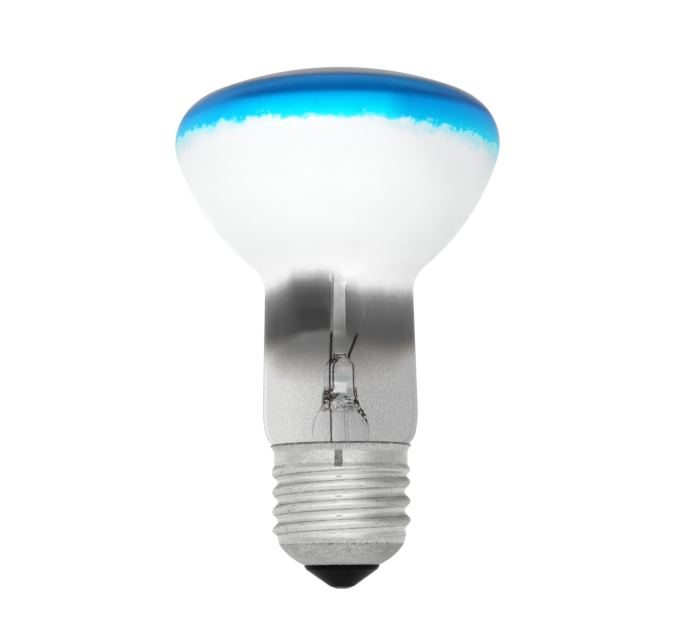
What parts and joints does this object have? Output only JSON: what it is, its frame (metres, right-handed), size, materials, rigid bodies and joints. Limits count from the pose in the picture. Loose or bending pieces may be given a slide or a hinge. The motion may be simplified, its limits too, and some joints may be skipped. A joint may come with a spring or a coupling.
{
  "type": "reflector bulb",
  "caption": "Mushroom-shaped reflector lamp: blue lacquered dome, mirrored glass bowl, clear neck showing the glass stem and leads, and an aluminium screw cap with a black insulator.",
  "frame": {"origin": "on the lamp's axis at the flat end of the centre contact's solder, the lowest point of the cap", "axes": "+Z along the lamp's axis from the cap to the dome; -Y towards the viewer, the side with the lead's weld on the screw shell"},
  "size_m": [0.063, 0.063, 0.0993],
  "materials": {
    "bulb_glass": "thin blown glass: clear neck, mirrored bowl, blue lacquered dome",
    "stem_glass": "clear pressed glass",
    "nickel": "drawn wire, dull",
    "copper_clad": "borated copper-clad wire, reddish",
    "copper": "drawn wire, slightly oxidised",
    "molybdenum": "fine drawn wire",
    "tungsten": "coiled coil, dark grey",
    "shell_aluminium": "rolled sheet, matte",
    "weld": "flattened and welded wire end, dull grey",
    "cement": "baked basing cement",
    "black_glass": "opaque black glass, glossy",
    "contact_metal": "plated eyelet, darkened",
    "solder": "soft solder, dull"
  },
  "bodies": {
    "root": {"glass_bulb": "bulb_glass", "glass_stem": "stem_glass", "inner_lead_side": "nickel", "inner_lead_centre": "nickel", "seal_wire_side": "copper_clad", "seal_wire_centre": "copper_clad", "outer_lead_side": "copper", "outer_lead_centre": "copper", "support_wire_1": "molybdenum", "support_wire_2": "molybdenum", "support_wire_3": "molybdenum", "filament": "tungsten", "screw_shell": "shell_aluminium", "side_weld": "weld", "basing_cement": "cement", "cap_insulator": "black_glass", "centre_contact": "contact_metal", "contact_solder": "solder"}
  },
  "joints": []
}
